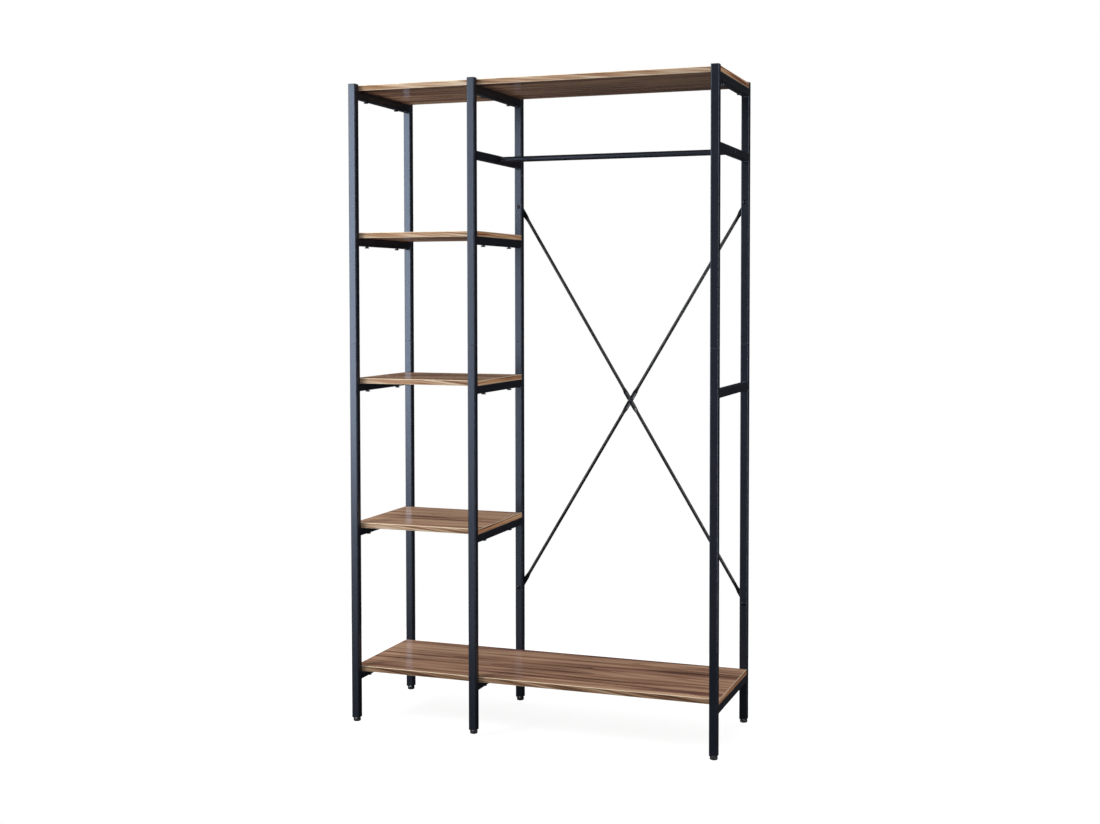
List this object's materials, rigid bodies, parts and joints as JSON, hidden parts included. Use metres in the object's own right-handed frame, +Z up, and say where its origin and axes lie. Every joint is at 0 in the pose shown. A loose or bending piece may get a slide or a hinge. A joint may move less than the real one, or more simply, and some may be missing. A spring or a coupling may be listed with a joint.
{
  "type": "open frame wardrobe",
  "caption": "Free-standing open wardrobe of black square steel tube with walnut boards, a shelf bay, a hanging bay with a rod, a rear cross brace and levelling feet.",
  "frame": {"origin": "on the floor, under the middle of the bounding box", "axes": "+Z up, +X from the shelf bay to the hanging bay, +Y to the back, where the cross brace is"},
  "size_m": [1.0624, 0.387, 1.8],
  "materials": {
    "powder_coat": "satin blue-black powder coat",
    "walnut_board": "walnut-grain melamine with edge banding",
    "black_plastic": "moulded, fine matt grain",
    "bare_steel": "zinc plated",
    "black_oxide_steel": "black screw finish"
  },
  "bodies": {
    "frame": {"left_front_lower_post": "powder_coat", "left_front_upper_post": "powder_coat", "left_rear_lower_post": "powder_coat", "left_rear_upper_post": "powder_coat", "middle_front_lower_post": "powder_coat", "middle_front_upper_post": "powder_coat", "middle_rear_lower_post": "powder_coat", "middle_rear_upper_post": "powder_coat", "right_front_lower_post": "powder_coat", "right_front_upper_post": "powder_coat", "right_rear_lower_post": "powder_coat", "right_rear_upper_post": "powder_coat", "left_bottom_rail": "powder_coat", "left_lower_rail": "powder_coat", "left_centre_rail": "powder_coat", "left_upper_rail": "powder_coat", "left_top_rail": "powder_coat", "middle_bottom_rail": "powder_coat", "middle_lower_rail": "powder_coat", "middle_centre_rail": "powder_coat", "middle_upper_rail": "powder_coat", "middle_rod_rail": "powder_coat", "middle_top_rail": "powder_coat", "right_bottom_rail": "powder_coat", "right_centre_rail": "powder_coat", "right_rod_rail": "powder_coat", "right_top_rail": "powder_coat", "hanging_rod": "powder_coat", "falling_brace": "powder_coat", "rising_brace": "powder_coat", "bottom_board": "walnut_board", "lower_shelf": "walnut_board", "centre_shelf": "walnut_board", "upper_shelf": "walnut_board", "top_board": "walnut_board", "post_caps": "black_plastic", "foot_plugs": "black_plastic", "rod_end_plugs": "black_plastic", "post_sleeves": "bare_steel", "board_inserts": "bare_steel", "shelf_screws": "black_oxide_steel", "rod_screws": "black_oxide_steel", "brace_centre_bolt": "black_oxide_steel", "brace_centre_nut": "black_oxide_steel", "brace_end_bolts": "black_oxide_steel", "brace_end_nuts": "black_oxide_steel"},
    "left_front_foot_pad": {"left_front_foot_pad": "black_plastic"},
    "left_front_foot_stud": {"left_front_foot_stud": "bare_steel"},
    "left_rear_foot_pad": {"left_rear_foot_pad": "black_plastic"},
    "left_rear_foot_stud": {"left_rear_foot_stud": "bare_steel"},
    "middle_front_foot_pad": {"middle_front_foot_pad": "black_plastic"},
    "middle_front_foot_stud": {"middle_front_foot_stud": "bare_steel"},
    "middle_rear_foot_pad": {"middle_rear_foot_pad": "black_plastic"},
    "middle_rear_foot_stud": {"middle_rear_foot_stud": "bare_steel"},
    "right_front_foot_pad": {"right_front_foot_pad": "black_plastic"},
    "right_front_foot_stud": {"right_front_foot_stud": "bare_steel"},
    "right_rear_foot_pad": {"right_rear_foot_pad": "black_plastic"},
    "right_rear_foot_stud": {"right_rear_foot_stud": "bare_steel"}
  },
  "joints": [
    {"name": "left_front_foot_lift", "type": "slide", "parent": "frame", "child": "left_front_foot_pad", "axis": [0, 0, 1], "range_m": [-0.01, 0.00125]},
    {"name": "left_front_stud_turn", "type": "hinge", "parent": "left_front_foot_pad", "child": "left_front_foot_stud", "pos_m": [-0.52025, -0.18245, 0.008], "axis": [0, 0, 1], "range_deg": [-2880.5, 360.5]},
    {"name": "left_rear_foot_lift", "type": "slide", "parent": "frame", "child": "left_rear_foot_pad", "axis": [0, 0, 1], "range_m": [-0.01, 0.00125]},
    {"name": "left_rear_stud_turn", "type": "hinge", "parent": "left_rear_foot_pad", "child": "left_rear_foot_stud", "pos_m": [-0.52025, 0.17355, 0.008], "axis": [0, 0, 1], "range_deg": [-2880.5, 360.5]},
    {"name": "middle_front_foot_lift", "type": "slide", "parent": "frame", "child": "middle_front_foot_pad", "axis": [0, 0, 1], "range_m": [-0.01, 0.00125]},
    {"name": "middle_front_stud_turn", "type": "hinge", "parent": "middle_front_foot_pad", "child": "middle_front_foot_stud", "pos_m": [-0.16025, -0.18245, 0.008], "axis": [0, 0, 1], "range_deg": [-2880.5, 360.5]},
    {"name": "middle_rear_foot_lift", "type": "slide", "parent": "frame", "child": "middle_rear_foot_pad", "axis": [0, 0, 1], "range_m": [-0.01, 0.00125]},
    {"name": "middle_rear_stud_turn", "type": "hinge", "parent": "middle_rear_foot_pad", "child": "middle_rear_foot_stud", "pos_m": [-0.16025, 0.17355, 0.008], "axis": [0, 0, 1], "range_deg": [-2880.5, 360.5]},
    {"name": "right_front_foot_lift", "type": "slide", "parent": "frame", "child": "right_front_foot_pad", "axis": [0, 0, 1], "range_m": [-0.01, 0.00125]},
    {"name": "right_front_stud_turn", "type": "hinge", "parent": "right_front_foot_pad", "child": "right_front_foot_stud", "pos_m": [0.51775, -0.18245, 0.008], "axis": [0, 0, 1], "range_deg": [-2880.5, 360.5]},
    {"name": "right_rear_foot_lift", "type": "slide", "parent": "frame", "child": "right_rear_foot_pad", "axis": [0, 0, 1], "range_m": [-0.01, 0.00125]},
    {"name": "right_rear_stud_turn", "type": "hinge", "parent": "right_rear_foot_pad", "child": "right_rear_foot_stud", "pos_m": [0.51775, 0.17355, 0.008], "axis": [0, 0, 1], "range_deg": [-2880.5, 360.5]}
  ],
  "couplings": [
    {"joint": "left_front_stud_turn", "follows": "left_front_foot_lift", "rad_per_m": 5026.5},
    {"joint": "left_rear_stud_turn", "follows": "left_rear_foot_lift", "rad_per_m": 5026.5},
    {"joint": "middle_front_stud_turn", "follows": "middle_front_foot_lift", "rad_per_m": 5026.5},
    {"joint": "middle_rear_stud_turn", "follows": "middle_rear_foot_lift", "rad_per_m": 5026.5},
    {"joint": "right_front_stud_turn", "follows": "right_front_foot_lift", "rad_per_m": 5026.5},
    {"joint": "right_rear_stud_turn", "follows": "right_rear_foot_lift", "rad_per_m": 5026.5}
  ]
}
